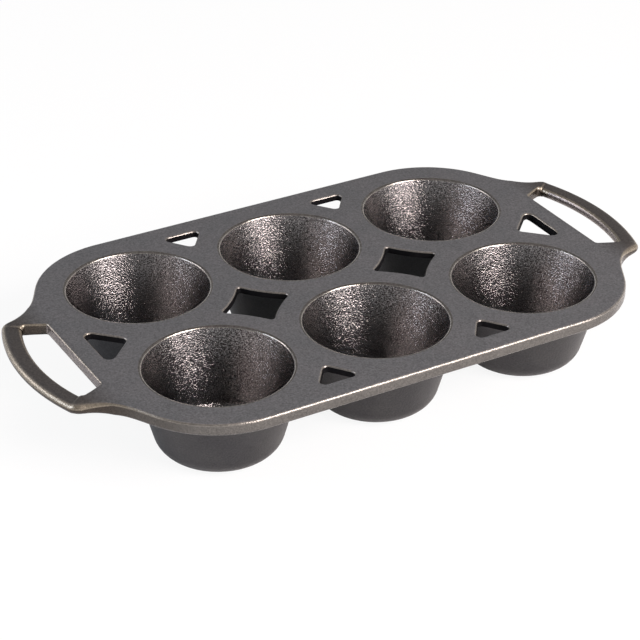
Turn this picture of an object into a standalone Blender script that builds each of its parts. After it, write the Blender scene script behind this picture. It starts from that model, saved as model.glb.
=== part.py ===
"""A cast iron muffin pan: six cups under a flat deck, with a bar handle at each end.

The pan is one rigid casting. Each region that a person would name is a solid of its own, and
neighbours meet at a hairline seam. Metres, +Z up. The origin is on the floor under the pan's
middle. X runs from handle to handle, and Y from the front row of cups to the back row.
Outlines and depths are measured from the middle of the deck's top face.
"""

import math

import bmesh
import bpy
from mathutils import Vector
from mathutils.geometry import interpolate_bezier

# Cups, inside
CUP_COLUMNS = ("left", "middle", "right")
CUP_ROWS = ("front", "back")
RIM_RADIUS = 0.038
LIP_ROUND = 0.0012
CUP_DEPTH = 0.0415
INNER_DRAFT = math.radians(14.6)
INNER_FILLET = 0.005

# Cups, outside: the wall and the gap between two cups are measured level with the deck's top
WALL_AT_RIM = 0.0053
CUP_GAP = 0.0042
OUTER_DRAFT = math.radians(15.1)
OUTER_FILLET = 0.012
FLOOR_THICKNESS = 0.004

# Deck: a thin plate with a thicker rim round it
EDGE_MARGIN = 0.015
PLATE_THICKNESS = 0.0035
RIM_THICKNESS = 0.0065
EDGE_ROUND = 0.0014
RECESS_SLOPE = 0.0044
RECESS_END_SHIFT = 0.0008

# Vents: each keeps a web of iron round the cups and inside the deck's edge
VENT_WEB = 0.0125
VENT_DRAFT = 0.0003
DIAMOND_BOW = 0.001
DIAMOND_ROUND = 0.0018
SIDE_VENT_ANGLE = math.radians(36.5)
SIDE_VENT_ROUND = 0.0024
END_VENT_ANGLE = math.radians(45)
END_VENT_DEPTH = 0.0179
END_VENT_ROUND = 0.003

# Handles: the bar is an arc, and the ears carry it
END_WEB = 0.0112
OPENING_WIDTH = 0.0181
OPENING_HALF = 0.032
OPENING_ROUND = 0.0018
BAR_WIDTH = 0.0101
BAR_BOW_RADIUS = 0.118
BAR_DROP = 0.0007
BAR_ROUND = 0.0028
BAR_HALF_ANGLE = math.radians(20.4)
EAR_RADIUS = 0.0072
EAR_END_ANGLE = math.radians(78)
EAR_ROUND_ACROSS = 0.0055
EAR_ROUND_DOWN = 0.0031
NECK_EASE_AT_EAR = 0.017
NECK_EASE_AT_SHOULDER = 0.014
SHOULDER_ANGLE = math.radians(31.5)
ROOT_STUB = 0.0025

# Seams and cutters
SEAM_GAP = 0.0003
OVERCUT = 0.001

# How finely round shapes are divided, and how much of a side or a wall one rounding may take
ROUND_SEGMENTS = 40
FILLET_STEPS = 4
CORNER_STEPS = 3
EDGE_STEPS = 3
ARC_STEPS = 9
BOWED_SIDE_STEPS = 4
ROUND_SHARE = 0.48
SHARP_ANGLE = math.radians(35)
WELD_DISTANCE = 0.00001

# Finish: linear colours, and how much the bare metal shows through the baked oil
DECK_COLOUR = (0.100, 0.100, 0.106)
CUP_COLOUR = (0.080, 0.078, 0.080)
HANDLE_COLOUR = (0.115, 0.105, 0.095)
DECK_ROUGHNESS = 0.55
CUP_ROUGHNESS = 0.45
HANDLE_ROUGHNESS = 0.4
METALLIC = 0.6

# Derived places
DECK_TOP = CUP_DEPTH + FLOOR_THICKNESS
INNER_AT_TOP = RIM_RADIUS - LIP_ROUND * math.tan((math.pi / 2 - INNER_DRAFT) / 2)
OUTER_AT_TOP = INNER_AT_TOP + WALL_AT_RIM
CUP_PITCH = 2 * OUTER_AT_TOP + CUP_GAP
CORNER_CUP = Vector((CUP_PITCH * (len(CUP_COLUMNS) - 1) / 2, CUP_PITCH * (len(CUP_ROWS) - 1) / 2))
CORNER_RADIUS = RIM_RADIUS + EDGE_MARGIN
WEB_RADIUS = RIM_RADIUS + VENT_WEB
END_VENT_TIP = (WEB_RADIUS / math.cos(END_VENT_ANGLE) - CUP_PITCH / 2) / math.tan(END_VENT_ANGLE)
OPENING_X = CORNER_CUP.x + END_VENT_TIP + END_VENT_DEPTH + END_WEB
SEAM_X = OPENING_X + ROOT_STUB
HALF_LENGTH = OPENING_X + OPENING_WIDTH + BAR_WIDTH
BAR_CENTRE = Vector((HALF_LENGTH - BAR_BOW_RADIUS, 0))


def on_circle(centre, radius, angle):
    return Vector((centre[0] + radius * math.cos(angle), centre[1] + radius * math.sin(angle)))


def arc(centre, radius, start, end, steps):
    """Points from one angle to another, both ends included."""
    return [on_circle(centre, radius, start + (end - start) * i / steps) for i in range(steps + 1)]


def rounded_corner(before, corner, after, radius, steps=CORNER_STEPS):
    """The arc that rounds a corner, within its share of both sides."""
    into = (corner - before).normalized()
    out = (after - corner).normalized()
    turn = into.angle_signed(out)
    half = abs(turn) / 2
    room = min((corner - before).length, (after - corner).length) * ROUND_SHARE
    radius = min(radius, room / math.tan(half))
    outwards = Vector((-into.y, into.x)) * (1 if turn > 0 else -1)
    start = corner - into * radius * math.tan(half)
    centre = start - outwards * radius
    first = math.atan2(outwards.y, outwards.x)
    return arc(centre, radius, first, first - turn, steps)


def rounded_polygon(corners, radius, bow):
    """A closed outline with rounded corners, and with sides that bend into it by the bow."""
    turned = corners[1:] + corners[:1]
    bends = [rounded_corner(corners[i - 1], corner, turned[i], radius) for i, corner in enumerate(corners)]
    points = []
    for bend, next_bend in zip(bends, bends[1:] + bends[:1]):
        along = next_bend[0] - bend[-1]
        inwards = Vector((-along.y, along.x)).normalized()
        points += bend
        for step in range(1, BOWED_SIDE_STEPS):
            share = step / BOWED_SIDE_STEPS
            points.append(bend[-1] + along * share + inwards * bow * 4 * share * (1 - share))
    return points


def all_round(quadrant):
    """A closed outline from the quarter that runs from the +X axis to the +Y axis."""
    back_half = quadrant + [Vector((-p.x, p.y)) for p in reversed(quadrant)]
    return back_half + [Vector((p.x, -p.y)) for p in reversed(back_half)]


def offset_outline(outline, distance):
    """The outline moved outwards, for one that runs anticlockwise."""
    moved = []
    for i, point in enumerate(outline):
        along = (outline[(i + 1) % len(outline)] - outline[i - 1]).normalized()
        moved.append(point + Vector((along.y, -along.x)) * distance)
    return moved


def level(outline, z):
    return [Vector((point[0], point[1], z)) for point in outline]


def add_loft(bm, rings):
    """Adds a closed solid that runs through the rings, with a flat face on the first and the last."""
    loops = []
    for ring in rings:
        verts = [bm.verts.new(point) for point in ring]
        loops.append([bm.edges.new(pair) for pair in zip(verts, verts[1:] + verts[:1])])
    for lower, upper in zip(loops, loops[1:]):
        bmesh.ops.bridge_loops(bm, edges=lower + upper)
    for end in (loops[0], loops[-1]):
        bmesh.ops.contextual_create(bm, geom=end)


def add_turned(bm, profile):
    """Adds a solid turned about Z from an (r, z) profile whose two ends lie on the axis."""
    verts = [bm.verts.new((r, 0, z)) for r, z in profile]
    edges = [bm.edges.new(pair) for pair in zip(verts, verts[1:])]
    bmesh.ops.spin(bm, geom=verts + edges, cent=(0, 0, 0), axis=(0, 0, 1), angle=math.tau,
                   steps=ROUND_SEGMENTS, use_merge=True)
    bmesh.ops.remove_doubles(bm, verts=bm.verts, dist=WELD_DISTANCE)


def finished(bm, name):
    bmesh.ops.recalc_face_normals(bm, faces=bm.faces)
    mesh = bpy.data.meshes.new(name)
    bm.to_mesh(mesh)
    bm.free()
    mesh.shade_smooth()
    mesh.set_sharp_from_angle(angle=SHARP_ANGLE)
    return mesh


def iron(name, colour, roughness):
    """Seasoned cast iron: a dark oil film baked on a grainy metal skin."""
    material = bpy.data.materials.new(name)
    material.use_nodes = True
    shader = material.node_tree.nodes["Principled BSDF"]
    shader.inputs["Base Color"].default_value = (*colour, 1)
    shader.inputs["Metallic"].default_value = METALLIC
    shader.inputs["Roughness"].default_value = roughness
    material.diffuse_color = (*colour, 1)
    return material


def place(name, mesh, location, material=None):
    obj = bpy.data.objects.new(name, mesh)
    obj.location = location
    if material:
        obj.data.materials.append(material)
    bpy.context.scene.collection.objects.link(obj)
    return obj


def cut(body, mesh):
    """Cuts a mesh of the body's own frame from it, and leaves the cutter as a hidden helper."""
    cutter = place(mesh.name, mesh, body.location)
    cutter.hide_render = True
    cutter.display_type = "WIRE"
    boolean = body.modifiers.new(mesh.name, "BOOLEAN")
    boolean.operation = "DIFFERENCE"
    boolean.solver = "EXACT"
    boolean.object = cutter


def cup_centres():
    for row, row_name in enumerate(CUP_ROWS):
        for column, column_name in enumerate(CUP_COLUMNS):
            x = CUP_PITCH * column - CORNER_CUP.x
            y = CUP_PITCH * row - CORNER_CUP.y
            yield f"{row_name}_{column_name}", x, y


def inner_radius(depth):
    return INNER_AT_TOP - depth * math.tan(INNER_DRAFT)


def outer_radius(depth):
    return OUTER_AT_TOP - depth * math.tan(OUTER_DRAFT)


def wall_and_floor(radius_at, start_depth, floor_depth, fillet):
    """The (r, z) points of one face of a cup, from the wall's top round the fillet to the axis."""
    corner = Vector((radius_at(floor_depth), -floor_depth))
    top = Vector((radius_at(start_depth), -start_depth))
    return [top] + rounded_corner(top, corner, Vector((0, -floor_depth)), fillet, FILLET_STEPS)


def cup_mesh():
    """A cup below the deck, as one turned shell. Its origin is on the floor under its middle."""
    seam_depth = PLATE_THICKNESS + SEAM_GAP
    inside = wall_and_floor(inner_radius, seam_depth, CUP_DEPTH, INNER_FILLET)
    outside = wall_and_floor(outer_radius, seam_depth, DECK_TOP, OUTER_FILLET)
    profile = [(0, -CUP_DEPTH)] + inside[::-1] + outside + [(0, -DECK_TOP)]
    bm = bmesh.new()
    add_turned(bm, [(r, z + DECK_TOP) for r, z in profile])
    return finished(bm, "cup")


def neck_and_shoulder():
    """The outer edge from the ear, along the hollow neck and round the corner cup, to the long side."""
    ear_end = on_circle(ear_centre(), EAR_RADIUS, EAR_END_ANGLE)
    shoulder = on_circle(CORNER_CUP, CORNER_RADIUS, SHOULDER_ANGLE)
    from_ear = Vector((-math.sin(EAR_END_ANGLE), math.cos(EAR_END_ANGLE))) * NECK_EASE_AT_EAR
    from_shoulder = Vector((math.sin(SHOULDER_ANGLE), -math.cos(SHOULDER_ANGLE))) * NECK_EASE_AT_SHOULDER
    neck = interpolate_bezier(ear_end, ear_end + from_ear, shoulder + from_shoulder, shoulder, ARC_STEPS + 1)
    corner = arc(CORNER_CUP, CORNER_RADIUS, SHOULDER_ANGLE, math.pi / 2, ARC_STEPS)
    return [Vector(point[:2]) for point in neck], corner[1:]


def ear_centre():
    """The ear's round end touches the bar's outer edge from inside."""
    return on_circle(BAR_CENTRE, BAR_BOW_RADIUS - EAR_RADIUS, BAR_HALF_ANGLE)


def opening_far_corner():
    return on_circle(BAR_CENTRE, BAR_BOW_RADIUS - BAR_WIDTH, BAR_HALF_ANGLE)


def wall_at(x):
    """The point of the opening's slanted end wall at this x."""
    near = Vector((OPENING_X, OPENING_HALF))
    return near.lerp(opening_far_corner(), (x - OPENING_X) / (opening_far_corner().x - OPENING_X))


def crossing(points, x):
    """Where a line of points that runs inwards from larger x first crosses this x."""
    for outer, inner in zip(points, points[1:]):
        if outer.x >= x > inner.x:
            return outer.lerp(inner, (outer.x - x) / (outer.x - inner.x))
    return points[-1]


def deck_outline():
    """The deck's edge, cut square across both roots of each handle."""
    neck, corner = neck_and_shoulder()
    near_corner = Vector((OPENING_X, OPENING_HALF))
    notch = rounded_corner(Vector((OPENING_X, 0)), near_corner, wall_at(SEAM_X), OPENING_ROUND)
    root = [wall_at(SEAM_X), crossing(neck, SEAM_X)]
    return all_round(notch + root + [point for point in neck if point.x < SEAM_X] + corner)


def deck_body():
    """The deck at the rim's thickness, with its edge rounded above and below."""
    bm = bmesh.new()
    edge = [bm.verts.new(point) for point in level(deck_outline(), 0)]
    face = bm.faces.new(edge)
    extruded = bmesh.ops.extrude_face_region(bm, geom=[face])
    lower = [item for item in extruded["geom"] if isinstance(item, bmesh.types.BMVert)]
    bmesh.ops.translate(bm, verts=lower, vec=(0, 0, -RIM_THICKNESS))
    bmesh.ops.recalc_face_normals(bm, faces=bm.faces)
    level_edges = [e for e in bm.edges if e.verts[0].co.z == e.verts[1].co.z]
    free_edges = [e for e in level_edges if min(abs(v.co.x) for v in e.verts) < SEAM_X - WELD_DISTANCE]
    bmesh.ops.bevel(bm, geom=free_edges, offset=EDGE_ROUND, offset_type="OFFSET", segments=EDGE_STEPS,
                    profile=0.5, affect="EDGES", clamp_overlap=True)
    return finished(bm, "deck")


def recess_mesh():
    """What is taken from under the deck to leave the thin plate inside the rim."""
    centre = CORNER_CUP + Vector((RECESS_END_SHIFT, 0))
    foot = outer_radius(PLATE_THICKNESS) + SEAM_GAP
    slope = RECESS_SLOPE / (RIM_THICKNESS - PLATE_THICKNESS)
    rings = []
    for depth in (PLATE_THICKNESS, RIM_THICKNESS + OVERCUT):
        radius = foot + (depth - PLATE_THICKNESS) * slope
        rings.append(level(all_round(arc(centre, radius, 0, math.pi / 2, ROUND_SEGMENTS // 4)), -depth))
    bm = bmesh.new()
    add_loft(bm, rings)
    return finished(bm, "under_recess")


def bores_mesh():
    """The six cup mouths, each with its rounded lip."""
    bm = bmesh.new()
    below = PLATE_THICKNESS + OVERCUT
    lip = arc((RIM_RADIUS, -LIP_ROUND), LIP_ROUND, math.pi - INNER_DRAFT, math.pi / 2, CORNER_STEPS)
    steps = [(inner_radius(below), -below)] + [tuple(point) for point in lip] + [(RIM_RADIUS, OVERCUT)]
    for _, x, y in cup_centres():
        add_loft(bm, [level(arc((x, y), r, 0, math.tau, ROUND_SEGMENTS)[:-1], z) for r, z in steps])
    return finished(bm, "cup_mouths")


def wedge(angle, base, radius):
    """A vent between two cups that lie at (0, half a pitch) either side of the X axis.

    Its tip is on the axis, its sides keep their web round both cups, and its base is square across.
    """
    tip = (WEB_RADIUS / math.cos(angle) - CUP_PITCH / 2) / math.tan(angle)
    half = (base - tip) * math.tan(angle)
    return rounded_polygon([Vector((tip, 0)), Vector((base, -half)), Vector((base, half))], radius, 0)


def vent_outlines():
    """The diamonds between four cups, and the wedges between two cups and the deck's edge."""
    reach = math.sqrt(2) * (CUP_PITCH / math.sqrt(2) - WEB_RADIUS + DIAMOND_BOW)
    diamond_corners = [on_circle((0, 0), reach, i * math.pi / 2) for i in range(4)]
    diamond = rounded_polygon(diamond_corners, DIAMOND_ROUND, DIAMOND_BOW)
    end_wedge = wedge(END_VENT_ANGLE, END_VENT_TIP + END_VENT_DEPTH, END_VENT_ROUND)
    side_wedge = wedge(SIDE_VENT_ANGLE, CORNER_RADIUS - VENT_WEB, SIDE_VENT_ROUND)
    for column in range(len(CUP_COLUMNS) - 1):
        x = CUP_PITCH * (column + 0.5) - CORNER_CUP.x
        yield [p + Vector((x, 0)) for p in diamond]
        yield [Vector((x - p.y, CORNER_CUP.y + p.x)) for p in side_wedge]
        yield [Vector((x + p.y, -CORNER_CUP.y - p.x)) for p in side_wedge]
    yield [Vector((CORNER_CUP.x + p.x, p.y)) for p in end_wedge]
    yield [Vector((-CORNER_CUP.x - p.x, -p.y)) for p in end_wedge]


def vents_mesh():
    """The diamonds and wedges, rounded at the top and a little narrower below."""
    bm = bmesh.new()
    below = RIM_THICKNESS + OVERCUT
    for outline in vent_outlines():
        flare = arc((EDGE_ROUND, -EDGE_ROUND), EDGE_ROUND, math.pi, math.pi / 2, EDGE_STEPS)
        steps = [(-VENT_DRAFT, -below)] + [tuple(point) for point in flare] + [(EDGE_ROUND, OVERCUT)]
        add_loft(bm, [level(offset_outline(outline, out), z) for out, z in steps])
    return finished(bm, "vents")


def section(inner, outer, drop, inner_round, outer_round):
    """A ring round the handle's section, from its inner edge to its outer one.

    Each rounding is (across, down), and both are kept within the section.
    """
    across = outer - inner
    width = across.length
    half_height = (RIM_THICKNESS - drop) / 2
    middle = -(RIM_THICKNESS + drop) / 2
    ring = []
    for turn in range(4):
        outwards = 1 if turn in (0, 1) else -1
        upwards = 1 if turn in (0, 3) else -1
        wide, deep = outer_round if outwards > 0 else inner_round
        wide = min(wide, width * ROUND_SHARE)
        deep = min(deep, half_height * 2 * ROUND_SHARE)
        for i in range(EDGE_STEPS + 1):
            angle = math.pi / 2 * (1 - turn - i / EDGE_STEPS)
            s = width / 2 + outwards * (width / 2 - wide) + wide * math.cos(angle)
            z = middle + upwards * (half_height - deep) + deep * math.sin(angle)
            point = inner + across * (s / width)
            ring.append(Vector((point.x, point.y, z)))
    return ring


def between(first, second, share):
    return tuple(a + (b - a) * share for a, b in zip(first, second))


def handle_stations():
    """Sections from the handle's root at the back, round the ear, to the middle of the bar."""
    plain = (EDGE_ROUND, EDGE_ROUND)
    ear = (EAR_ROUND_ACROSS, EAR_ROUND_DOWN)
    bar = (BAR_ROUND, BAR_ROUND)
    start_x = SEAM_X + SEAM_GAP
    neck, _ = neck_and_shoulder()
    edge = [crossing(neck, start_x)] + [point for point in reversed(neck) if point.x > start_x]
    far_corner = opening_far_corner()
    bar_middle = on_circle(BAR_CENTRE, BAR_BOW_RADIUS - BAR_WIDTH, 0)
    bend = rounded_corner(wall_at(start_x), far_corner, bar_middle, OPENING_ROUND, 2 * CORNER_STEPS)

    stations = []
    for i, outer in enumerate(edge):
        share = i / len(edge)
        inner = wall_at(start_x).lerp(bend[0], share)
        stations.append(section(inner, outer, 0, plain, between(plain, ear, share)))
    for i, inner in enumerate(bend):
        share = i / len(bend)
        angle = EAR_END_ANGLE + (BAR_HALF_ANGLE - EAR_END_ANGLE) * share
        outer = on_circle(ear_centre(), EAR_RADIUS, angle)
        rounds = (between(plain, bar, share), between(ear, bar, share))
        stations.append(section(inner, outer, BAR_DROP * share, *rounds))
    for i in range(1, ARC_STEPS + 1):
        angle = BAR_HALF_ANGLE * (1 - i / ARC_STEPS)
        inner = on_circle(BAR_CENTRE, BAR_BOW_RADIUS - BAR_WIDTH, angle)
        stations.append(section(inner, on_circle(BAR_CENTRE, BAR_BOW_RADIUS, angle), BAR_DROP, bar, bar))
    return stations


def handle_mesh(side):
    """One handle, from root to root. Its origin is at the deck's top, on the seam."""
    half = handle_stations()
    mirrored = [[Vector((p.x, -p.y, p.z)) for p in ring] for ring in reversed(half[:-1])]
    rings = [[Vector((side * (p.x - SEAM_X), p.y, p.z)) for p in ring] for ring in half + mirrored]
    bm = bmesh.new()
    add_loft(bm, rings)
    return finished(bm, "handle")


def main():
    for obj in list(bpy.data.objects):
        bpy.data.objects.remove(obj)

    deck_iron = iron("deck_iron", DECK_COLOUR, DECK_ROUGHNESS)
    deck = place("deck_plate", deck_body(), (0, 0, DECK_TOP), deck_iron)
    for cutter in (recess_mesh(), bores_mesh(), vents_mesh()):
        cut(deck, cutter)

    cup = cup_mesh()
    cup.materials.append(iron("cup_iron", CUP_COLOUR, CUP_ROUGHNESS))
    for name, x, y in cup_centres():
        place(f"cup_{name}", cup, (x, y, 0))

    handle_iron = iron("handle_iron", HANDLE_COLOUR, HANDLE_ROUGHNESS)
    for name, side in (("left", -1), ("right", 1)):
        place(f"handle_{name}", handle_mesh(side), (side * SEAM_X, 0, DECK_TOP), handle_iron)


main()
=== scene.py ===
"""A seasoned cast iron muffin pan, finished to match its photograph, on a pale studio floor.

The pan is one casting. Each region has its own piece: the deck, six cups and two handles. They
follow the frame's solids, with finer rounding, and meet face to face so that no seam shows.
Metres, +Z up. Outlines and depths are measured from the middle of the deck's top face.
"""

import math

import bmesh
import bpy
from mathutils import Matrix, Vector
from mathutils.geometry import interpolate_bezier


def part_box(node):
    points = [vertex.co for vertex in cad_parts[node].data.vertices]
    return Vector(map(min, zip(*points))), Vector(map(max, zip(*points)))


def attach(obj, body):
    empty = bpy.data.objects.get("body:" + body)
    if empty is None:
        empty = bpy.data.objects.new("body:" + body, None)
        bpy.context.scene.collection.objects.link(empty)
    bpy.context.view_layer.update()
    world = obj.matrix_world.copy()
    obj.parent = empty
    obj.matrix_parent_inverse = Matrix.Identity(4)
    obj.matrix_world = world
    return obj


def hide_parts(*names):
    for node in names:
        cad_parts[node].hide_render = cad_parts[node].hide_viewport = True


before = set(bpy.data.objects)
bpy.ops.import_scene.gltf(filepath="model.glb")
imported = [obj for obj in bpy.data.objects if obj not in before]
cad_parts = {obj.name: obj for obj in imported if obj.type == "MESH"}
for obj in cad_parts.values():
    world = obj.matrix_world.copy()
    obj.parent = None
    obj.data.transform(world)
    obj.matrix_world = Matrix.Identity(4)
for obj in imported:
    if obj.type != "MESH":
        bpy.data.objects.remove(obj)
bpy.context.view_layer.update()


def cup_centre(node):
    low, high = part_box(node)
    return Vector(((low.x + high.x) / 2, (low.y + high.y) / 2))


# Places that the frame gives
DECK_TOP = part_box("deck_plate")[1].z
SEAM_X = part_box("deck_plate")[1].x
HALF_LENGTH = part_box("handle_right")[1].x
CORNER_CUP = cup_centre("cup_back_right")
CUP_PITCH = 2 * CORNER_CUP.y

# Cups: their walls at the level of the deck's top, and their slopes. The collar is the flat ring from
# the lip to the deck's hole, and the under fillet is where the outer wall meets the plate.
CUP_NODES = ("cup_front_left", "cup_front_middle", "cup_front_right",
             "cup_back_left", "cup_back_middle", "cup_back_right")
RIM_RADIUS = 0.038
LIP_ROUND = 0.0012
COLLAR = 0.0004
CUP_DEPTH = 0.0415
INNER_DRAFT = math.radians(14.6)
INNER_FILLET = 0.005
WALL_AT_RIM = 0.0053
OUTER_DRAFT = math.radians(15.1)
OUTER_FILLET = 0.012
UNDER_FILLET = 0.0018

# Deck: a thin plate round the cups, and a slope below it that steps down to a thicker rim
CORNER_MARGIN = 0.015
PLATE_THICKNESS = 0.0035
RIM_THICKNESS = 0.0065
EDGE_ROUND = 0.0014
RECESS_SLOPE = 0.0044
RECESS_END_SHIFT = 0.0008
RECESS_CLEARANCE = 0.0003

# Vents: diamonds between four cups, wedges along the long sides, and a larger wedge at each end
VENT_WEB = 0.0125
VENT_DRAFT = 0.0003
DIAMOND_BOW = 0.001
DIAMOND_ROUND = 0.0018
SIDE_VENT_ANGLE = math.radians(36.5)
SIDE_VENT_ROUND = 0.0024
END_VENT_ANGLE = math.radians(45)
END_VENT_DEPTH = 0.0179
END_VENT_ROUND = 0.003

# Handles: a bowed bar, the ears that carry it, and the neck that runs from an ear into the deck. A pull
# is how far the neck's curve keeps the direction of its end. An ease is the length over which the
# sections of the deck's edge turn, from a handle's root onwards.
ROOT_STUB = 0.0025
OPENING_HALF = 0.032
OPENING_ROUND = 0.0018
BAR_WIDTH = 0.0101
BAR_BOW_RADIUS = 0.118
BAR_HALF_ANGLE = math.radians(20.4)
BAR_DROP = 0.0007
BAR_INNER_ROUND = 0.0028
BAR_OUTER_ACROSS = 0.0042
BAR_OUTER_DOWN = 0.0028
EAR_RADIUS = 0.0072
EAR_END_ANGLE = math.radians(78)
EAR_ROUND_ACROSS = 0.0055
EAR_ROUND_DOWN = 0.0031
CREASE_START = 0.6
NECK_PULL_AT_EAR = 0.017
NECK_PULL_AT_SHOULDER = 0.014
SHOULDER_ANGLE = math.radians(31.5)
ROOT_EASE = 0.007
NOTCH_EASE = 0.0015

# How finely round shapes are divided
ROUND_SEGMENTS = 160
FILLET_STEPS = 12
CORNER_STEPS = 8
EDGE_STEPS = 7
ARC_STEPS = 36
BOWED_SIDE_STEPS = 10

# How meshes are made: the width of the narrow face that keeps a flat one flat beside a rounding, the
# share of a side that a rounding may take, and what counts as sharp, as one point and as level
SUPPORT = 0.0003
ROUND_SHARE = 0.48
SHARP_ANGLE = math.radians(30)
WELD_DISTANCE = 0.000002
LEVEL_NORMAL = 0.99999

# Derived places
INNER_AT_TOP = RIM_RADIUS - LIP_ROUND * math.tan((math.pi / 2 - INNER_DRAFT) / 2)
OUTER_AT_TOP = INNER_AT_TOP + WALL_AT_RIM
CORNER_RADIUS = RIM_RADIUS + CORNER_MARGIN
WEB_RADIUS = RIM_RADIUS + VENT_WEB
SLOPE_TOP_RADIUS = OUTER_AT_TOP - PLATE_THICKNESS * math.tan(OUTER_DRAFT) + RECESS_CLEARANCE
SLOPE_FOOT_RADIUS = SLOPE_TOP_RADIUS + RECESS_SLOPE
PLATE_END = CORNER_CUP.x + RECESS_END_SHIFT + SLOPE_TOP_RADIUS
OPENING_X = SEAM_X - ROOT_STUB
BAR_CENTRE = Vector((HALF_LENGTH - BAR_BOW_RADIUS, 0))

# The finishes of each piece, by number, and which faces take them: how many steps of the flare round a
# vent take the near-black painted shade of its wall, how nearly a wall of a grip's opening that takes the
# painted highlight faces along X, and how little below a cup's floor a face still counts as inside
DECK_SKIN, DECK_PAINTED_SHADE, DECK_PAINTED_HIGHLIGHT = range(3)
CUP_OUTSIDE, CUP_INSIDE, CUP_LIP = range(3)
HANDLE_SKIN, HANDLE_PAINTED_HIGHLIGHT = range(2)
PAINTED_SHADE_FLARE_STEPS = 2
WALL_FACING = 0.75
FLOOR_TOLERANCE = 0.001

# The seasoned skin's layers: where each starts and where it is full. The first three go by the Z of a
# face's normal, and the browned ones by the distance from the pan's middle along X, in metres.
ROUNDED_EDGE = (0.95, 0.78)
UPRIGHT_SIDE = (0.35, 0.1)
UNDERSIDE = (-0.5, -0.9)
BROWNED_EDGE = (0.122, 0.15)
BROWNED_TOP = (0.142, 0.158)

# Patterns in every skin: the part of a noise's range that grains and patches use, how finely a patch's
# outline is broken, and a swell's width in millimetres
GRAIN_RANGE = (0.3, 0.7)
PATCH_RANGE = (0.35, 0.65)
PATCH_DETAIL = 3.0
SWELL_WIDTH = 4
MILLIMETRES_PER_METRE = 1000

# The mixing node's sockets, which have numbers because their names repeat
SHARE = 0
FIRST_NUMBER, SECOND_NUMBER, MIXED_NUMBER = 2, 3, 0
FIRST_COLOUR, SECOND_COLOUR, MIXED_COLOUR = 6, 7, 2

# Camera: where it looks and from where, fitted to the photograph's 640 by 640 frame
CAMERA_TARGET = Vector((-0.0248, -0.0314, DECK_TOP))
CAMERA_AZIMUTH = math.radians(-29.91)
CAMERA_ELEVATION = math.radians(30.15)
CAMERA_ROLL = math.radians(0.21)
CAMERA_DISTANCE = 1.0423
CAMERA_LENS = 117.41
CAMERA_FAR = 10

# Studio: the strength that renders white, how far the lamps stand, the world's light on the pan, the
# heights where the white backdrop ends and the dark ceiling starts in a reflection, the ceiling's
# strength, and the floor: half its size, and how much of what the camera or metal sees is its own glow
WHITE = 1.0
LAMP_DISTANCE = 1.6
WORLD_LIGHT = 0.25
BACKDROP_TOP = math.sin(math.radians(8))
CEILING_FROM = math.sin(math.radians(24))
CEILING = 0.15
FLOOR_HALF = 3
FLOOR_ROUGHNESS = 0.9
FLOOR_GLOW = 0.9
FLOOR_GLOW_IN_METAL = 0.15


def on_circle(centre, radius, angle):
    return Vector((centre[0] + radius * math.cos(angle), centre[1] + radius * math.sin(angle)))


def arc(centre, radius, start, end, steps):
    """Points from one angle to another, both ends included."""
    return [on_circle(centre, radius, start + (end - start) * i / steps) for i in range(steps + 1)]


def rounded_corner(before, corner, after, radius, steps=CORNER_STEPS):
    """The arc that rounds a corner, within its share of both sides."""
    into = (corner - before).normalized()
    out = (after - corner).normalized()
    turn = into.angle_signed(out)
    half = abs(turn) / 2
    room = min((corner - before).length, (after - corner).length) * ROUND_SHARE
    radius = min(radius, room / math.tan(half))
    outwards = Vector((-into.y, into.x)) * (1 if turn > 0 else -1)
    start = corner - into * radius * math.tan(half)
    centre = start - outwards * radius
    first = math.atan2(outwards.y, outwards.x)
    return arc(centre, radius, first, first - turn, steps)


def rounded_polygon(corners, radius, bow):
    """A closed outline with rounded corners, and with sides that bend into it by the bow."""
    bends = []
    for before, corner, after in zip(corners[-1:] + corners, corners, corners[1:] + corners[:1]):
        bends.append(rounded_corner(before, corner, after, radius))
    points = []
    for bend, next_bend in zip(bends, bends[1:] + bends[:1]):
        along = next_bend[0] - bend[-1]
        inwards = Vector((-along.y, along.x)).normalized()
        points += bend
        for step in range(1, BOWED_SIDE_STEPS):
            share = step / BOWED_SIDE_STEPS
            points.append(bend[-1] + along * share + inwards * bow * 4 * share * (1 - share))
    return points


def offset_outline(outline, distance):
    """The outline moved outwards, for one that runs anticlockwise."""
    moved = []
    for i, point in enumerate(outline):
        along = (outline[(i + 1) % len(outline)] - outline[i - 1]).normalized()
        moved.append(point + Vector((along.y, -along.x)) * distance)
    return moved


def level(outline, z):
    return [Vector((point[0], point[1], z)) for point in outline]


def at_depths(points, depths):
    return [Vector((point.x, point.y, -depth)) for point, depth in zip(points, depths)]


def mirrored(runs, x=1, y=1):
    """The runs of points in reverse order, mirrored in X or Y where its factor is -1."""
    return [[Vector((p.x * x, p.y * y, p.z)) for p in run] for run in reversed(runs)]


def within_one(share):
    return max(0.0, min(1.0, share))


def smooth_share(share):
    share = within_one(share)
    return share * share * (3 - 2 * share)


def between(first, second, share):
    return tuple(a + (b - a) * share for a, b in zip(first, second))


def add_loops(bm, rings):
    """Adds each ring's points and the edges round it, and returns the edges of each."""
    loops = []
    for ring in rings:
        verts = [bm.verts.new(point) for point in ring]
        loops.append([bm.edges.new(pair) for pair in zip(verts, verts[1:] + verts[:1])])
    return loops


def add_wall(bm, rings, painted_shade_from=None):
    """Adds the side of a solid or a hole that runs through the rings, and returns its end loops.

    Below the ring with this number the wall has the vent's inside finish, a near-black painted shade.
    """
    loops = add_loops(bm, rings)
    for i, (upper, lower) in enumerate(zip(loops, loops[1:])):
        wall = bmesh.ops.bridge_loops(bm, edges=upper + lower)["faces"]
        painted_shade = painted_shade_from is not None and i >= painted_shade_from
        for face in wall:
            face.material_index = DECK_PAINTED_SHADE if painted_shade else DECK_SKIN
    return loops[0], loops[-1]


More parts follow.
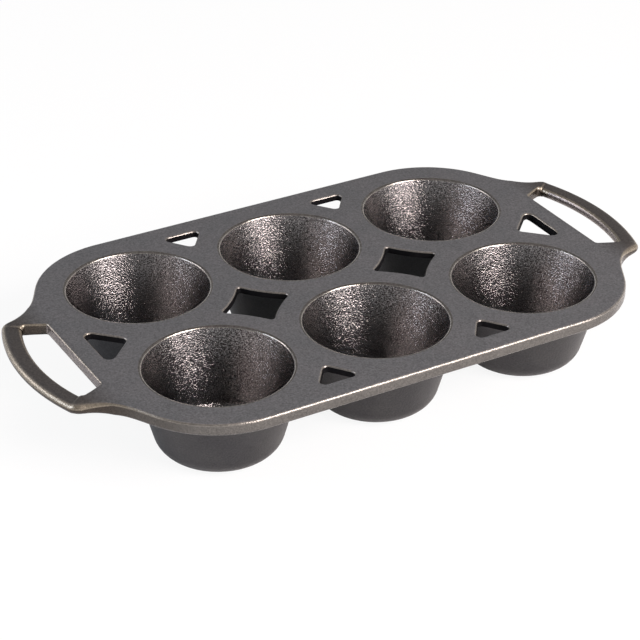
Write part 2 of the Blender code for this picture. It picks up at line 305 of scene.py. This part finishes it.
def add_loft(bm, rings):
    """Adds a closed solid that runs through the rings, with a flat face on the first and the last."""
    for end in add_wall(bm, rings):
        bmesh.ops.contextual_create(bm, geom=end)


def run_of_edges(bm, verts):
    return [bm.edges.new(pair) for pair in zip(verts, verts[1:])]


def fill(bm, loops):
    """Fills what lies between closed loops of edges."""
    edges = [edge for loop in loops for edge in loop]
    bmesh.ops.triangle_fill(bm, use_beauty=True, use_dissolve=False, edges=edges)


def raise_to(edges, depth_at):
    """Moves the ends of the edges to the depth that a rule gives for their x."""
    for vert in {v for edge in edges for v in edge.verts}:
        vert.co.z = -depth_at(vert.co.x)


def finished(bm, name):
    bmesh.ops.recalc_face_normals(bm, faces=bm.faces)
    mesh = bpy.data.meshes.new(name)
    bm.to_mesh(mesh)
    bm.free()
    mesh.shade_smooth()
    mesh.set_sharp_from_angle(angle=SHARP_ANGLE)
    return mesh


def place(name, data):
    obj = bpy.data.objects.new(name, data)
    bpy.context.scene.collection.objects.link(obj)
    return obj


def inner_radius(depth):
    return INNER_AT_TOP - depth * math.tan(INNER_DRAFT)


def outer_radius(depth):
    return OUTER_AT_TOP - depth * math.tan(OUTER_DRAFT)


def cup_profile():
    """The (r, z) points of a cup: its floor, inside wall, lip and collar, then its outside and base."""
    floor_corner = Vector((inner_radius(CUP_DEPTH), -CUP_DEPTH))
    wall_top = Vector((inner_radius(LIP_ROUND), -LIP_ROUND))
    inside = rounded_corner(Vector((0, -CUP_DEPTH)), floor_corner, wall_top, INNER_FILLET, FILLET_STEPS)
    lip = arc((RIM_RADIUS, -LIP_ROUND), LIP_ROUND, math.pi - INNER_DRAFT, math.pi / 2, EDGE_STEPS)
    collar = [Vector((RIM_RADIUS + COLLAR, 0)), Vector((RIM_RADIUS + COLLAR, -PLATE_THICKNESS))]
    under = Vector((outer_radius(PLATE_THICKNESS), -PLATE_THICKNESS))
    base_corner = Vector((outer_radius(DECK_TOP), -DECK_TOP))
    rim_side = under + Vector((2 * UNDER_FILLET, 0))
    fillet = rounded_corner(rim_side, under, base_corner, UNDER_FILLET, FILLET_STEPS // 2)
    base = rounded_corner(under, base_corner, Vector((0, -DECK_TOP)), OUTER_FILLET, FILLET_STEPS)
    return [(0, -CUP_DEPTH)] + inside + lip + collar + fillet + base + [(0, -DECK_TOP)]


def cup_mesh(centre):
    bm = bmesh.new()
    verts = [bm.verts.new((r, 0, z)) for r, z in cup_profile()]
    edges = run_of_edges(bm, verts)
    bmesh.ops.spin(bm, geom=verts + edges, cent=(0, 0, 0), axis=(0, 0, 1), angle=math.tau,
                   steps=ROUND_SEGMENTS, use_merge=True)
    bmesh.ops.remove_doubles(bm, verts=bm.verts, dist=WELD_DISTANCE)
    bmesh.ops.translate(bm, verts=bm.verts, vec=(centre.x, centre.y, DECK_TOP))
    return finished(bm, "cup")


def ear_centre():
    """The ear's round end touches the bar's outer edge from inside."""
    return on_circle(BAR_CENTRE, BAR_BOW_RADIUS - EAR_RADIUS, BAR_HALF_ANGLE)


def opening_far_corner():
    return on_circle(BAR_CENTRE, BAR_BOW_RADIUS - BAR_WIDTH, BAR_HALF_ANGLE)


def wall_at(x):
    """The point of the opening's slanted end wall at this x."""
    near = Vector((OPENING_X, OPENING_HALF))
    return near.lerp(opening_far_corner(), (x - OPENING_X) / (opening_far_corner().x - OPENING_X))


def neck_and_shoulder():
    """The outer edge from the ear, along the hollow neck and round the corner cup, to the long side."""
    ear_end = on_circle(ear_centre(), EAR_RADIUS, EAR_END_ANGLE)
    shoulder = on_circle(CORNER_CUP, CORNER_RADIUS, SHOULDER_ANGLE)
    from_ear = Vector((-math.sin(EAR_END_ANGLE), math.cos(EAR_END_ANGLE))) * NECK_PULL_AT_EAR
    from_shoulder = Vector((math.sin(SHOULDER_ANGLE), -math.cos(SHOULDER_ANGLE))) * NECK_PULL_AT_SHOULDER
    neck = interpolate_bezier(ear_end, ear_end + from_ear, shoulder + from_shoulder, shoulder,
                              ARC_STEPS + 1)
    corner = arc(CORNER_CUP, CORNER_RADIUS, SHOULDER_ANGLE, math.pi / 2, ARC_STEPS)
    return [Vector(point[:2]) for point in neck], corner[1:]


def crossing(points, x):
    """Where a line of points that runs inwards from larger x first crosses this x."""
    for outer, inner in zip(points, points[1:]):
        if outer.x >= x > inner.x:
            return outer.lerp(inner, (outer.x - x) / (outer.x - inner.x))
    return points[-1]


def edge_section(point, inwards):
    """The deck's edge at one point of its outline, from the top face round to the bottom face."""
    ring, depths = [], []
    for i in range(EDGE_STEPS + 1):
        angle = math.pi / 2 * i / EDGE_STEPS
        ring.append(point + inwards * EDGE_ROUND * (1 - math.sin(angle)))
        depths.append(EDGE_ROUND * (1 - math.cos(angle)))
    below = [RIM_THICKNESS - depth for depth in reversed(depths)]
    return at_depths(ring + ring[::-1], depths + below)


def deck_rings():
    """Level rings down the deck's edge, which run square across both roots of each handle.

    Near a root the sections turn from square to the edge until they lie in the root's plane.
    """
    neck, corner = neck_and_shoulder()
    near_corner = Vector((OPENING_X, OPENING_HALF))
    notch = rounded_corner(Vector((OPENING_X, 0)), near_corner, wall_at(SEAM_X), OPENING_ROUND)
    notch.append(wall_at(SEAM_X))
    edge = [crossing(neck, SEAM_X)] + [point for point in neck if point.x < SEAM_X] + corner
    quadrant = []
    for chain, root, square_in, ease in ((notch, notch[-1], Vector((0, 1)), NOTCH_EASE),
                                         (edge, edge[0], Vector((0, -1)), ROOT_EASE)):
        for i, point in enumerate(chain):
            along = chain[min(i + 1, len(chain) - 1)] - chain[max(i - 1, 0)]
            across = Vector((-along.y, along.x)).normalized()
            share = smooth_share((point - root).length / ease)
            quadrant.append(edge_section(point, square_in.lerp(across, share).normalized()))
    half = quadrant + mirrored(quadrant, x=-1)
    columns = half + mirrored(half, y=-1)
    return [list(ring) for ring in zip(*columns)]


def cup_hole_rings(node):
    circle = arc(cup_centre(node), RIM_RADIUS + COLLAR, 0, math.tau, ROUND_SEGMENTS)[:-1]
    return [level(circle, 0), level(circle, -RIM_THICKNESS)]


def wedge_tip(angle):
    """How far from the line between two cups a wedge with these slanted sides starts."""
    return (WEB_RADIUS / math.cos(angle) - CUP_PITCH / 2) / math.tan(angle)


def wedge(angle, base, radius):
    """A vent between two cups that lie at (0, half a pitch) either side of the X axis."""
    tip = wedge_tip(angle)
    half = (base - tip) * math.tan(angle)
    return rounded_polygon([Vector((tip, 0)), Vector((base, -half)), Vector((base, half))], radius, 0)


def inner_vents():
    """The outlines of the diamonds between four cups, and of the wedges along the long sides."""
    reach = math.sqrt(2) * (CUP_PITCH / math.sqrt(2) - WEB_RADIUS + DIAMOND_BOW)
    diamond_corners = [on_circle((0, 0), reach, i * math.pi / 2) for i in range(4)]
    diamond = rounded_polygon(diamond_corners, DIAMOND_ROUND, DIAMOND_BOW)
    side_wedge = wedge(SIDE_VENT_ANGLE, CORNER_RADIUS - VENT_WEB, SIDE_VENT_ROUND)
    for x in (-CUP_PITCH / 2, CUP_PITCH / 2):
        yield [p + Vector((x, 0)) for p in diamond]
        yield [Vector((x - p.y, CORNER_CUP.y + p.x)) for p in side_wedge]
        yield [Vector((x + p.y, -CORNER_CUP.y - p.x)) for p in side_wedge]


def end_vent(side):
    """The outline of an end wedge, with a point where each side crosses the plate's end line."""
    end_wedge = wedge(END_VENT_ANGLE, wedge_tip(END_VENT_ANGLE) + END_VENT_DEPTH, END_VENT_ROUND)
    line = PLATE_END - CORNER_CUP.x
    outline = []
    for point, after in zip(end_wedge, end_wedge[1:] + end_wedge[:1]):
        outline.append(point)
        if min(point.x, after.x) < line < max(point.x, after.x):
            outline.append(point.lerp(after, (line - point.x) / (after.x - point.x)))
    return [Vector((side * (CORNER_CUP.x + p.x), side * p.y)) for p in outline]


def vent_rings(outline):
    """Rings down a vent: the flare round its top edge, and its narrower bottom."""
    flare = arc((EDGE_ROUND, -EDGE_ROUND), EDGE_ROUND, math.pi / 2, math.pi, EDGE_STEPS)
    steps = [tuple(p) for p in flare] + [(-VENT_DRAFT, -RIM_THICKNESS)]
    return [level(offset_outline(outline, out), z) for out, z in steps]


def add_deck_walls(bm):
    """Adds the deck's edge and the walls of its holes.

    Returns their top loops, then the bottom loops of the edge, of the inner holes and of the end vents.
    """
    top, rim = add_wall(bm, deck_rings())
    tops, holes, ends = [top], [], []
    # The last steps of each vent's flare take the wall's near-black painted shade
    vents_painted_shade_from = EDGE_STEPS - PAINTED_SHADE_FLARE_STEPS
    walls = [(cup_hole_rings(node), None, holes) for node in CUP_NODES]
    walls += [(vent_rings(outline), vents_painted_shade_from, holes) for outline in inner_vents()]
    walls += [(vent_rings(end_vent(side)), vents_painted_shade_from, ends) for side in (1, -1)]
    for rings, painted_shade_from, bottoms in walls:
        upper, lower = add_wall(bm, rings, painted_shade_from)
        tops.append(upper)
        bottoms.append(lower)
    return tops, rim, holes, ends


def recess_outline(radius):
    """A line round the recess below, this far from the corner cups' middles."""
    centre = CORNER_CUP + Vector((RECESS_END_SHIFT, 0))
    quadrant = arc(centre, radius, 0, math.pi / 2, ARC_STEPS)
    half = quadrant + [Vector((-p.x, p.y)) for p in reversed(quadrant)]
    return half + [Vector((p.x, -p.y)) for p in reversed(half)]


def depth_at_end(x):
    """How deep the deck is at the end vents, from the thin plate down the slope to the rim."""
    share = within_one((abs(x) - PLATE_END) / RECESS_SLOPE)
    return PLATE_THICKNESS + (RIM_THICKNESS - PLATE_THICKNESS) * share


def add_underside(bm, rim, holes, ends):
    """Closes the deck below, with the rim's face, the slope inside it and the plate inside the slope.

    They are filled level with the rim. Then what lies inside the rim is raised. The line where plate
    and slope meet is cut in two by the end vents, and joins their sides.
    """
    [slope_foot] = add_loops(bm, [level(recess_outline(SLOPE_FOOT_RADIUS), -RIM_THICKNESS)])
    fill(bm, [rim, slope_foot])

    end_edges = [edge for loop in ends for edge in loop]
    tip_sides = [e for e in end_edges if min(abs(v.co.x) for v in e.verts) < PLATE_END - SUPPORT]
    base_sides = [e for e in end_edges if e not in tip_sides]
    meeting = {v for e in tip_sides for v in e.verts} & {v for e in base_sides for v in e.verts}
    right_front, right_back = sorted((v for v in meeting if v.co.x > 0), key=lambda v: v.co.y)
    left_front, left_back = sorted((v for v in meeting if v.co.x < 0), key=lambda v: v.co.y)
    line = [bm.verts.new(p) for p in level(recess_outline(SLOPE_TOP_RADIUS), -RIM_THICKNESS)]
    half = len(line) // 2
    slope_top = run_of_edges(bm, [right_back] + line[:half] + [left_back])
    slope_top += run_of_edges(bm, [left_front] + line[half:] + [right_front])
    fill(bm, [slope_top, tip_sides] + holes)
    fill(bm, [slope_top, base_sides, slope_foot])
    raise_to(slope_top + [edge for loop in holes for edge in loop], lambda x: PLATE_THICKNESS)
    raise_to(end_edges, depth_at_end)


def deck_mesh():
    bm = bmesh.new()
    tops, rim, holes, ends = add_deck_walls(bm)
    fill(bm, tops)
    add_underside(bm, rim, holes, ends)
    bmesh.ops.recalc_face_normals(bm, faces=bm.faces)
    for direction in (1, -1):
        flats = [face for face in bm.faces if face.normal.z * direction > LEVEL_NORMAL]
        bmesh.ops.inset_region(bm, faces=flats, thickness=SUPPORT, use_boundary=True,
                               use_even_offset=True)
    bmesh.ops.translate(bm, verts=bm.verts, vec=(0, 0, DECK_TOP))
    return finished(bm, "deck")


def section(inner, outer, drop, inner_round, outer_round):
    """A ring round the handle's section, with a narrow support beside each rounding.

    It starts on the top face at the outer edge. Each rounding is (across, down).
    """
    across = outer - inner
    width = across.length
    half_height = (RIM_THICKNESS - drop) / 2
    middle = -(RIM_THICKNESS + drop) / 2
    ring = []
    for turn in range(4):
        outwards = 1 if turn in (0, 1) else -1
        upwards = 1 if turn in (0, 3) else -1
        starts_level = turn in (0, 2)
        wide, deep = outer_round if outwards > 0 else inner_round
        wide = min(wide, width * ROUND_SHARE)
        deep = min(deep, half_height * 2 * ROUND_SHARE)
        corner = []
        for i in range(EDGE_STEPS + 1):
            angle = math.pi / 2 * (1 - turn - i / EDGE_STEPS)
            reach = width / 2 + outwards * (width / 2 - wide) + wide * math.cos(angle)
            corner.append((reach, middle + upwards * (half_height - deep) + deep * math.sin(angle)))
        reach, z = corner[0] if starts_level else corner[-1]
        beside = (reach - outwards * SUPPORT, z)
        ring += [beside] + corner if starts_level else corner + [beside]
    flat = [inner + across * (reach / width) for reach, _ in ring]
    return [Vector((point.x, point.y, z)) for point, (_, z) in zip(flat, ring)]


def handle_stations():
    """Sections from the handle's root at the back, round the ear, to the middle of the bar."""
    plain = (EDGE_ROUND, EDGE_ROUND)
    ear = (EAR_ROUND_ACROSS, EAR_ROUND_DOWN)
    bar = (BAR_INNER_ROUND, BAR_INNER_ROUND)
    bar_outer = (BAR_OUTER_ACROSS, BAR_OUTER_DOWN)
    neck, _ = neck_and_shoulder()
    edge = [crossing(neck, SEAM_X)] + [point for point in reversed(neck) if point.x > SEAM_X]
    bar_middle = on_circle(BAR_CENTRE, BAR_BOW_RADIUS - BAR_WIDTH, 0)
    bend = rounded_corner(wall_at(SEAM_X), opening_far_corner(), bar_middle, OPENING_ROUND,
                          2 * CORNER_STEPS)

    stations = []
    for i, outer in enumerate(edge):
        share = i / len(edge)
        inner = wall_at(SEAM_X).lerp(bend[0], share)
        stations.append(section(inner, outer, 0, plain, between(plain, ear, share)))
    for i, inner in enumerate(bend):
        share = i / len(bend)
        angle = EAR_END_ANGLE + (BAR_HALF_ANGLE - EAR_END_ANGLE) * share
        outer = on_circle(ear_centre(), EAR_RADIUS, angle)
        creased = smooth_share((share - CREASE_START) / (1 - CREASE_START))
        rounds = (between(plain, bar, share), between(ear, bar_outer, creased))
        stations.append(section(inner, outer, BAR_DROP * creased, *rounds))
    for i in range(1, ARC_STEPS + 1):
        angle = BAR_HALF_ANGLE * (1 - i / ARC_STEPS)
        inner = on_circle(BAR_CENTRE, BAR_BOW_RADIUS - BAR_WIDTH, angle)
        outer = on_circle(BAR_CENTRE, BAR_BOW_RADIUS, angle)
        stations.append(section(inner, outer, BAR_DROP, bar, bar_outer))
    return stations


def handle_mesh(side):
    """One handle, from root to root."""
    half = handle_stations()
    bm = bmesh.new()
    add_loft(bm, [[Vector((side * p.x, p.y, p.z + DECK_TOP)) for p in ring]
                  for ring in half + mirrored(half[:-1], y=-1)])
    return finished(bm, "handle")


def linear(hex_colour):
    """An sRGB hex colour as linear red, green, blue and alpha."""
    values = [int(hex_colour[i:i + 2], 16) / 255 for i in (1, 3, 5)]
    return (*[v / 12.92 if v <= 0.04045 else ((v + 0.055) / 1.055) ** 2.4 for v in values], 1)


def add_node(tree, kind, output, inputs, **properties):
    """Adds a node with its settings and links, and returns one output.

    Each input is a value or another node's output.
    """
    node = tree.nodes.new(kind)
    for name, value in properties.items():
        setattr(node, name, value)
    for name, value in inputs.items():
        if isinstance(value, bpy.types.NodeSocket):
            tree.links.new(value, node.inputs[name])
        else:
            node.inputs[name].default_value = value
    return node.outputs[output]


def per_metre(millimetres):
    """The scale of a pattern whose features are this wide."""
    return MILLIMETRES_PER_METRE / millimetres


def drifting(tree, where, wide, first, second):
    """A colour that drifts between two in cloudy patches this wide, in millimetres."""
    cloud = add_node(tree, "ShaderNodeTexNoise", "Fac",
                     {"Vector": where, "Scale": per_metre(wide), "Detail": PATCH_DETAIL})
    share = add_node(tree, "ShaderNodeMapRange", "Result",
                     {"Value": cloud, "From Min": PATCH_RANGE[0], "From Max": PATCH_RANGE[1]})
    return add_node(tree, "ShaderNodeMix", MIXED_COLOUR,
                    {SHARE: share, FIRST_COLOUR: linear(first), SECOND_COLOUR: linear(second)},
                    data_type="RGBA")


def iron(name, make_skin, metallic, grain, grain_height, swell_height, pit_shade_and_polish):
    """Grey iron as cast in sand, with the mould's grain in its skin. Sizes are in millimetres.

    Real moulding sand leaves grains of 0.3 to 0.5 mm. They would be lost at the size of a picture,
    so they are drawn about twice as coarse. By the same noise that gives its bump, a grain is paler on
    its top, as polish, and darker in its pit, which is painted shade. Its slopes catch a lamp or miss it,
    which makes the skin glint. Low swells under the grain bend reflections.
    """
    material = bpy.data.materials.new(name)
    material.use_nodes = True
    tree = material.node_tree
    shader = tree.nodes["Principled BSDF"]
    where = add_node(tree, "ShaderNodeTexCoord", "Object", {})
    colour, roughness = make_skin(tree, where)
    grains = add_node(tree, "ShaderNodeTexNoise", "Fac", {"Vector": where, "Scale": per_metre(grain)})
    # Paler grain tops are polish; darker pits are painted shade in the grain's hollows
    shade = add_node(tree, "ShaderNodeMapRange", "Result",
                     {"Value": grains, "From Min": GRAIN_RANGE[0], "From Max": GRAIN_RANGE[1],
                      "To Min": 1 - pit_shade_and_polish, "To Max": 1 + pit_shade_and_polish})
    pit_shaded_colour = add_node(tree, "ShaderNodeHueSaturation", "Color", {"Color": colour, "Value": shade})
    swells = add_node(tree, "ShaderNodeTexNoise", "Fac",
                      {"Vector": where, "Scale": per_metre(SWELL_WIDTH)})
    swollen = add_node(tree, "ShaderNodeBump", "Normal",
                       {"Height": swells, "Distance": swell_height / MILLIMETRES_PER_METRE})
    grainy = add_node(tree, "ShaderNodeBump", "Normal",
                      {"Height": grains, "Distance": grain_height / MILLIMETRES_PER_METRE,
                       "Normal": swollen})
    tree.links.new(pit_shaded_colour, shader.inputs["Base Color"])
    tree.links.new(grainy, shader.inputs["Normal"])
    if isinstance(roughness, float):
        shader.inputs["Roughness"].default_value = roughness
    else:
        tree.links.new(roughness, shader.inputs["Roughness"])
    shader.inputs["Metallic"].default_value = metallic
    return material


def seasoned_skin(tree, where):
    """Baked oil: dull dark grey on the flats, and browner towards the handles.

    Edges are rubbed down to paler iron that shines. Upright sides and the underside are darker.
    """
    facing = add_node(tree, "ShaderNodeNewGeometry", "Normal", {})
    upwards = add_node(tree, "ShaderNodeSeparateXYZ", "Z", {"Vector": facing})
    along = add_node(tree, "ShaderNodeSeparateXYZ", "X", {"Vector": where})
    outwards = add_node(tree, "ShaderNodeMath", "Value", {0: along}, operation="ABSOLUTE")
    shares = []
    for value, (start, full) in ((upwards, ROUNDED_EDGE), (upwards, UPRIGHT_SIDE), (upwards, UNDERSIDE),
                                 (outwards, BROWNED_EDGE), (outwards, BROWNED_TOP)):
        shares.append(add_node(tree, "ShaderNodeMapRange", "Result",
                               {"Value": value, "From Min": start, "From Max": full}))
    rounded, upright, below, browned_edge, browned_top = shares
    layers = []
    for browned, plain, brown in (
            (browned_top, drifting(tree, where, wide=16, first="#646466", second="#606163"), "#464341"),
            (browned_edge, linear("#7a7671"), "#857d70"),
            (browned_edge, drifting(tree, where, wide=16, first="#605e5b", second="#595754"), "#39332d")):
        layers.append(add_node(tree, "ShaderNodeMix", MIXED_COLOUR,
                               {SHARE: browned, FIRST_COLOUR: plain, SECOND_COLOUR: linear(brown)},
                               data_type="RGBA"))
    colour, edges, sides = layers
    for share, layer in ((rounded, edges), (upright, sides), (below, linear("#454547"))):
        colour = add_node(tree, "ShaderNodeMix", MIXED_COLOUR,
                          {SHARE: share, FIRST_COLOUR: colour, SECOND_COLOUR: layer}, data_type="RGBA")
    roughness = add_node(tree, "ShaderNodeMapRange", "Result",
                         {"Value": rounded, "To Min": 0.75, "To Max": 0.27})
    return colour, roughness


def vent_painted_shade_skin(tree, where):
    """Painted shade: the vents' inner walls and the foot of their flares are coloured near black for the
    shade in the holes, and dull.
    """
    return drifting(tree, where, wide=5, first="#0c0c0e", second="#161518"), 0.7


def grip_wall_painted_highlight_skin(tree, where):
    """Painted highlight: the long walls of the grips' openings are coloured pale for the light they catch
    from the left.
    """
    return drifting(tree, where, wide=3, first="#7a7371", second="#8f8783"), 0.34


def outside_skin(tree, where):
    """Baked oil on the cups' outer walls: even, darker than the deck, with a satin shine."""
    return drifting(tree, where, wide=18, first="#3e3e40", second="#444445"), 0.42


def lip_skin(tree, where):
    """The cups' lips, polished by the cleaning cloth: a lamp draws a bright line on them.

    What doesn't face a lamp mirrors the dark ceiling, and stays dark.
    """
    return drifting(tree, where, wide=6, first="#86827e", second="#908c87"), 0.2


def pebbled_skin(tree, where):
    """The cups' insides: coarse mould sand under baked oil, so each pebble glints or is black, its pit
    darkened further by strong painted shade.
    """
    return drifting(tree, where, wide=9, first="#777474", second="#7e7b7b"), 0.18


def deck_finish(face):
    """Painted highlight on the deck's walls in the grips' openings, and otherwise what its wall was made
    with.
    """
    in_notch = abs(face.center.x) > OPENING_X - OPENING_ROUND and abs(face.center.y) < OPENING_HALF
    return DECK_PAINTED_HIGHLIGHT if in_notch and abs(face.normal.x) > WALL_FACING else face.material_index


def cup_finish(face, centre):
    """The lip's finish down to where its rounding ends, and below it the inside's or the outside's."""
    radius = (face.center.to_2d() - centre).length
    depth = DECK_TOP - face.center.z
    mid_wall = (inner_radius(depth) + outer_radius(depth)) / 2
    if depth < LIP_ROUND:
        return CUP_LIP
    return CUP_INSIDE if radius < mid_wall and depth < CUP_DEPTH + FLOOR_TOLERANCE else CUP_OUTSIDE


def handle_finish(face):
    """Painted highlight on the bar's inner wall."""
    reach = (Vector((abs(face.center.x), face.center.y)) - BAR_CENTRE).length
    inner = reach < BAR_BOW_RADIUS - BAR_WIDTH / 2 and abs(face.center.y) < OPENING_HALF
    return HANDLE_PAINTED_HIGHLIGHT if inner and abs(face.normal.x) > WALL_FACING else HANDLE_SKIN


def give_finishes(piece, finishes, finish_of):
    """Gives the piece its finishes, and each face the one whose number the rule gives."""
    for finish in finishes:
        piece.data.materials.append(finish)
    for face in piece.data.polygons:
        face.material_index = finish_of(face)


def by_ray(tree, straight, reflected, scattered):
    """A number by how a ray came: straight from the camera, off metal or through glass, or scattered."""
    rays = tree.nodes.new("ShaderNodeLightPath").outputs
    bent = add_node(tree, "ShaderNodeMath", "Value",
                    {0: rays["Is Glossy Ray"], 1: rays["Is Transmission Ray"]}, operation="MAXIMUM")
    away = add_node(tree, "ShaderNodeMix", MIXED_NUMBER,
                    {SHARE: bent, FIRST_NUMBER: scattered, SECOND_NUMBER: reflected})
    return add_node(tree, "ShaderNodeMix", MIXED_NUMBER,
                    {SHARE: rays["Is Camera Ray"], FIRST_NUMBER: away, SECOND_NUMBER: straight})


def studio_floor():
    """A matt white floor. The camera sees mostly its own glow, and the rest keeps the pan's shadow."""
    bm = bmesh.new()
    bmesh.ops.create_grid(bm, x_segments=1, y_segments=1, size=FLOOR_HALF)
    floor = place("studio_floor", finished(bm, "floor"))
    material = bpy.data.materials.new("white_studio_floor")
    material.use_nodes = True
    tree = material.node_tree
    shader = tree.nodes["Principled BSDF"]
    shader.inputs["Base Color"].default_value = linear("#f4f4f4")
    shader.inputs["Roughness"].default_value = FLOOR_ROUGHNESS
    glow = add_node(tree, "ShaderNodeEmission", "Emission", {"Color": linear("#ffffff"), "Strength": WHITE})
    share = by_ray(tree, straight=FLOOR_GLOW, reflected=FLOOR_GLOW_IN_METAL, scattered=0.0)
    lit = add_node(tree, "ShaderNodeMixShader", "Shader", {0: share, 1: shader.outputs["BSDF"], 2: glow})
    tree.links.new(lit, tree.nodes["Material Output"].inputs["Surface"])
    floor.data.materials.append(material)


def studio_world():
    """A white backdrop all round. In a reflection it fades upwards to a dark ceiling."""
    world = bpy.data.worlds.new("studio_white")
    bpy.context.scene.world = world
    world.use_nodes = True
    tree = world.node_tree
    direction = add_node(tree, "ShaderNodeTexCoord", "Generated", {})
    height = add_node(tree, "ShaderNodeSeparateXYZ", "Z", {"Vector": direction})
    backdrop = add_node(tree, "ShaderNodeMapRange", "Result",
                        {"Value": height, "From Min": BACKDROP_TOP, "From Max": CEILING_FROM,
                         "To Min": WHITE, "To Max": CEILING})
    strength = by_ray(tree, straight=WHITE, reflected=backdrop, scattered=WORLD_LIGHT)
    background = tree.nodes["Background"]
    background.inputs["Color"].default_value = linear("#ffffff")
    tree.links.new(strength, background.inputs["Strength"])


def from_pan(azimuth, elevation, distance):
    """A place by its angles from the pan: azimuth 0 is the front, and it grows towards +X."""
    across = math.cos(elevation)
    direction = Vector((math.sin(azimuth) * across, -math.cos(azimuth) * across, math.sin(elevation)))
    return direction * distance


def softbox(name, azimuth, elevation, half_wide, half_high, radiance, colour):
    """A lamp that faces the pan. Its place and its half sizes, as the pan sees them, are in degrees."""
    lamp = bpy.data.lights.new(name, "AREA")
    lamp.shape = "RECTANGLE"
    lamp.size = 2 * LAMP_DISTANCE * math.tan(math.radians(half_wide))
    lamp.size_y = 2 * LAMP_DISTANCE * math.tan(math.radians(half_high))
    lamp.energy = radiance * math.pi * lamp.size * lamp.size_y
    lamp.color = linear(colour)[:3]
    obj = place(name, lamp)
    obj.location = from_pan(math.radians(azimuth), math.radians(elevation), LAMP_DISTANCE)
    facing = (Vector((0, 0, DECK_TOP)) - obj.location).to_track_quat("-Z", "Y")
    obj.rotation_euler = facing.to_euler()


def camera():
    data = bpy.data.cameras.new("camera")
    data.lens = CAMERA_LENS
    data.clip_end = CAMERA_FAR
    obj = place("camera", data)
    back = from_pan(CAMERA_AZIMUTH, CAMERA_ELEVATION, 1)
    turned = back.to_track_quat("Z", "Y").to_matrix().to_4x4()
    stand = Matrix.Translation(CAMERA_TARGET + back * CAMERA_DISTANCE)
    obj.matrix_world = stand @ turned @ Matrix.Rotation(CAMERA_ROLL, 4, "Z")
    bpy.context.scene.camera = obj


def main():
    skin = iron("seasoned_cast_iron", seasoned_skin,
                metallic=0.6, grain=0.9, grain_height=0.16, swell_height=0.09, pit_shade_and_polish=0.26)
    # Near-black painted shade for the vents' walls and the foot of their flares
    painted_shade = iron("vent_wall_painted_shade", vent_painted_shade_skin,
                 metallic=0.85, grain=0.9, grain_height=0.10, swell_height=0.05, pit_shade_and_polish=0.20)
    # Pale painted highlight for the long walls of the grips' openings
    painted_highlight = iron("grip_wall_painted_highlight", grip_wall_painted_highlight_skin,
                  metallic=0.85, grain=0.9, grain_height=0.16, swell_height=0.05, pit_shade_and_polish=0.3)
    outside = iron("seasoned_cast_iron_outside", outside_skin,
                   metallic=0.85, grain=0.9, grain_height=0.10, swell_height=0.05, pit_shade_and_polish=0.16)
    lip = iron("polished_cast_iron_lip", lip_skin,
               metallic=0.85, grain=0.9, grain_height=0.12, swell_height=0.05, pit_shade_and_polish=0.3)
    # Strong painted shade in the pebbles' pits, with polish on their tops
    pebbled = iron("pebbled_cast_iron", pebbled_skin,
                   metallic=1.0, grain=0.7, grain_height=0.25, swell_height=0.08, pit_shade_and_polish=0.85)

    deck = place("deck_casting", deck_mesh())
    give_finishes(deck, (skin, painted_shade, painted_highlight), deck_finish)
    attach(deck, "root")
    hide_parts("deck_plate")
    for node in CUP_NODES:
        centre = cup_centre(node)
        cup = place(f"{node}_casting", cup_mesh(centre))
        give_finishes(cup, (outside, pebbled, lip), lambda face: cup_finish(face, centre))
        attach(cup, "root")
        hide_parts(node)
    for node, side in (("handle_left", -1), ("handle_right", 1)):
        handle = place(f"{node}_casting", handle_mesh(side))
        give_finishes(handle, (skin, painted_highlight), handle_finish)
        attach(handle, "root")
        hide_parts(node)

    studio_floor()
    studio_world()
    softbox("softbox_front", azimuth=23, elevation=33, half_wide=16, half_high=13,
            radiance=19, colour="#fff3f0")
    softbox("softbox_right", azimuth=40, elevation=36, half_wide=6, half_high=24,
            radiance=5, colour="#fff8f2")
    softbox("softbox_left", azimuth=-109, elevation=27, half_wide=9, half_high=7,
            radiance=12, colour="#e6efff")
    softbox("softbox_back_left", azimuth=-137, elevation=26, half_wide=10, half_high=12,
            radiance=5, colour="#fdfaff")
    camera()
    bpy.context.scene.view_settings.view_transform = "Standard"


main()
